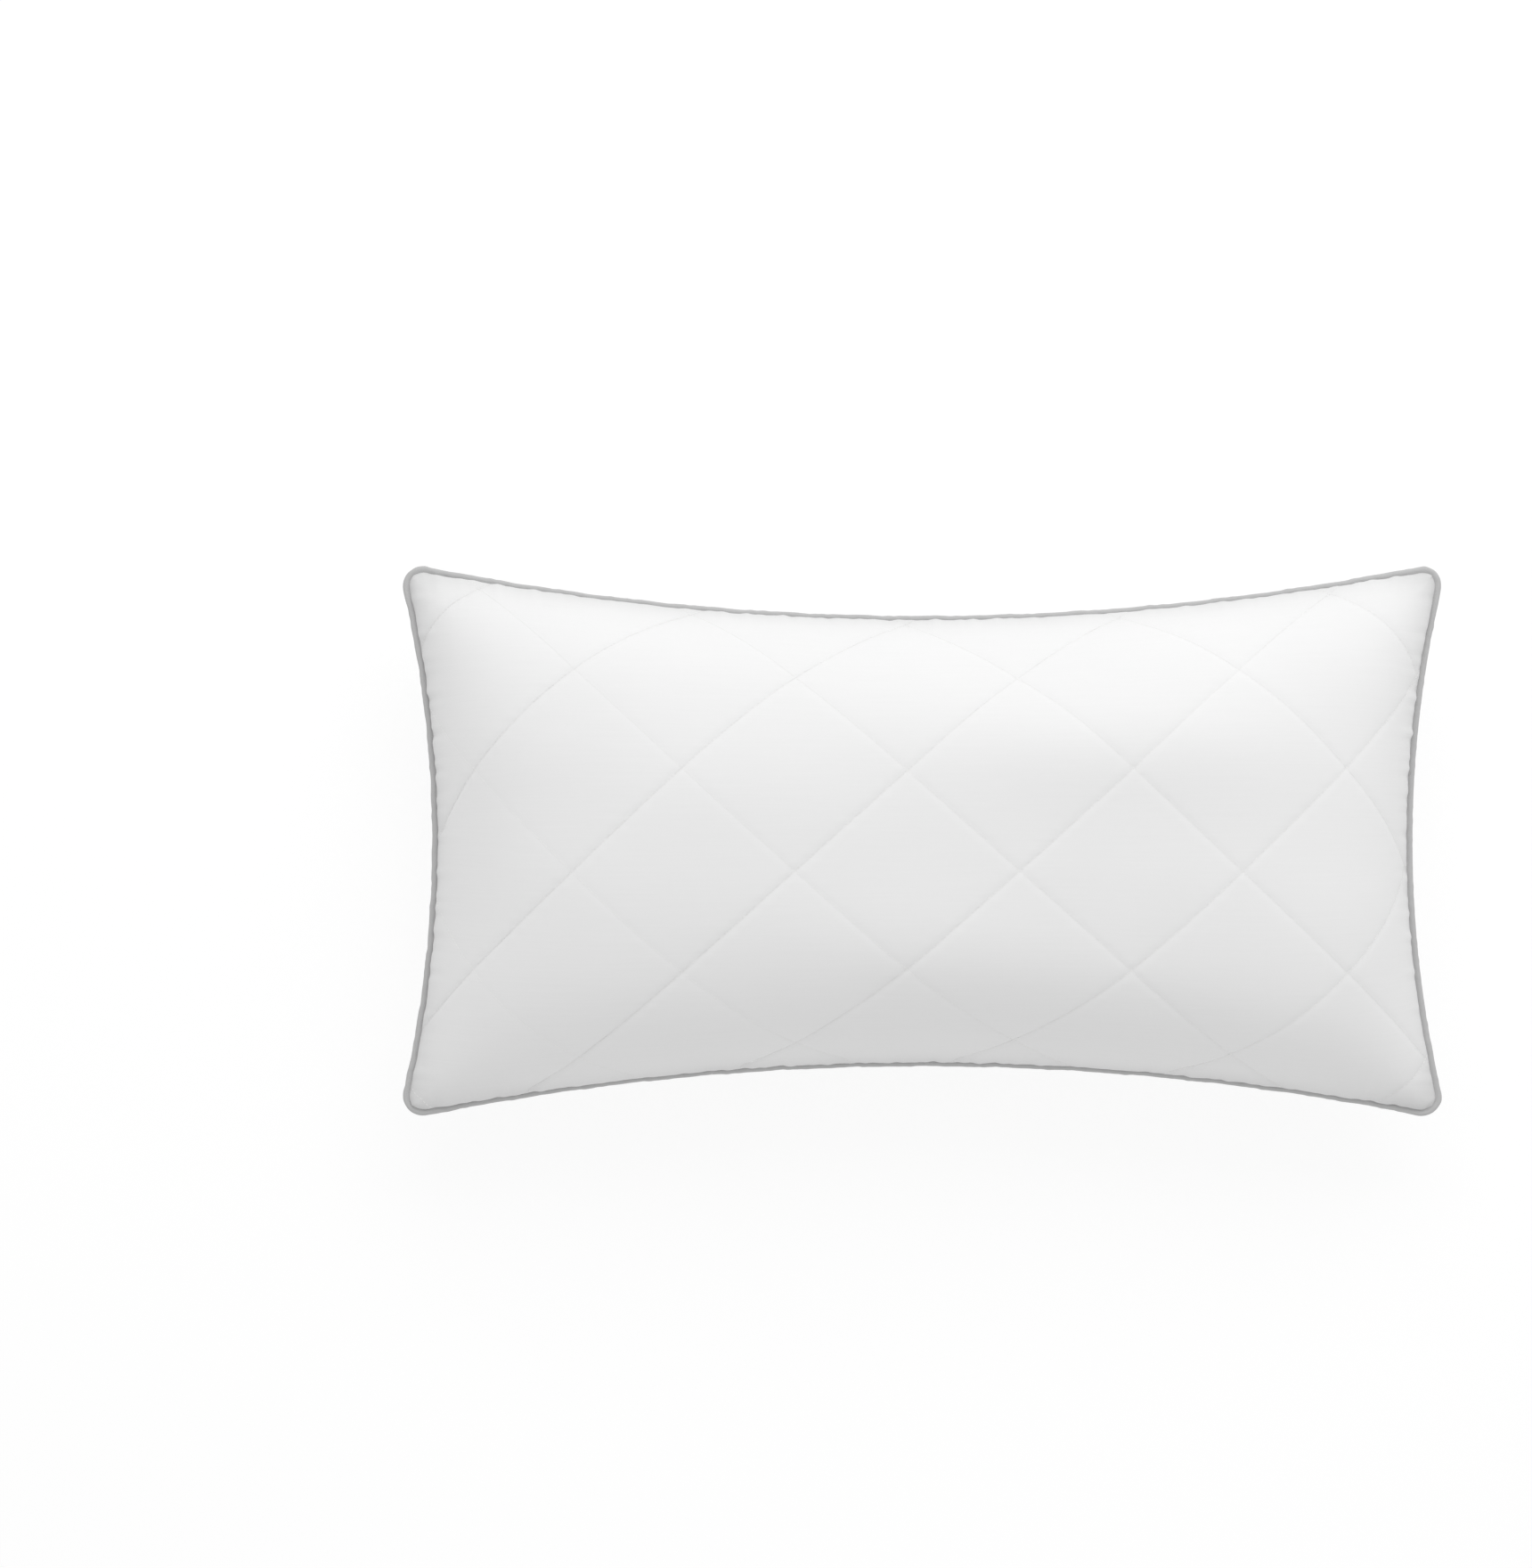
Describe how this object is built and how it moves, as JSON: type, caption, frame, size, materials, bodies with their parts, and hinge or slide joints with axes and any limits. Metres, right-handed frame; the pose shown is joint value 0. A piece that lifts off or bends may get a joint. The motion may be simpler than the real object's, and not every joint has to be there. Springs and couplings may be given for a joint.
{
  "type": "bed pillow",
  "caption": "Large rectangular bed pillow, diamond-quilted white cover with grey piping round the edge, a zip in one short side and a plump fibre inner.",
  "frame": {"origin": "centre of the flat patch on the back face, at the plane that the pillow rests on", "axes": "+X along the long side, towards the short side with the zip; +Y along the short side; +Z through the front face, the loft"},
  "size_m": [0.8876, 0.4694, 0.2045],
  "materials": {
    "cover_fabric": "matte",
    "wadding": "matte",
    "lining": "matte",
    "quilting_thread": "matte",
    "piping": "matte",
    "piping_core": "matte",
    "seam_thread": "matte",
    "label": "satin",
    "zip_tape": "matte",
    "zip_coil": "satin",
    "zip_metal": "satin",
    "ticking": "matte",
    "fibre": "matte"
  },
  "bodies": {
    "pillow": {"front_panel_fabric": "cover_fabric", "back_panel_fabric": "cover_fabric", "front_panel_wadding": "wadding", "back_panel_wadding": "wadding", "front_panel_lining": "lining", "back_panel_lining": "lining", "front_quilting_thread": "quilting_thread", "back_quilting_thread": "quilting_thread", "piping_sleeve": "piping", "piping_cord": "piping_core", "cover_seam_overlock": "seam_thread", "care_label": "label", "zip_tape_front": "zip_tape", "zip_tape_back": "zip_tape", "zip_coil_front": "zip_coil", "zip_coil_back": "zip_coil", "zip_top_stop_front": "zip_metal", "zip_top_stop_back": "zip_metal", "zip_bottom_stop": "zip_metal", "inner_shell_front": "ticking", "inner_shell_back": "ticking", "inner_seam_overlock": "seam_thread", "fibre_fill": "fibre"},
    "slider": {"zip_slider_body": "zip_metal"},
    "pull": {"zip_pull": "zip_metal"}
  },
  "joints": [
    {"name": "zip_travel", "type": "hinge", "parent": "pillow", "child": "slider", "pos_m": [1.36733, 0, 0.0848], "axis": [0, 0, 1], "range_deg": [0, 17.7]},
    {"name": "pull_swing", "type": "hinge", "parent": "slider", "child": "pull", "pos_m": [0.42865, 0.14769, 0.0848], "axis": [0, 0, 1], "range_deg": [0, 172]}
  ]
}
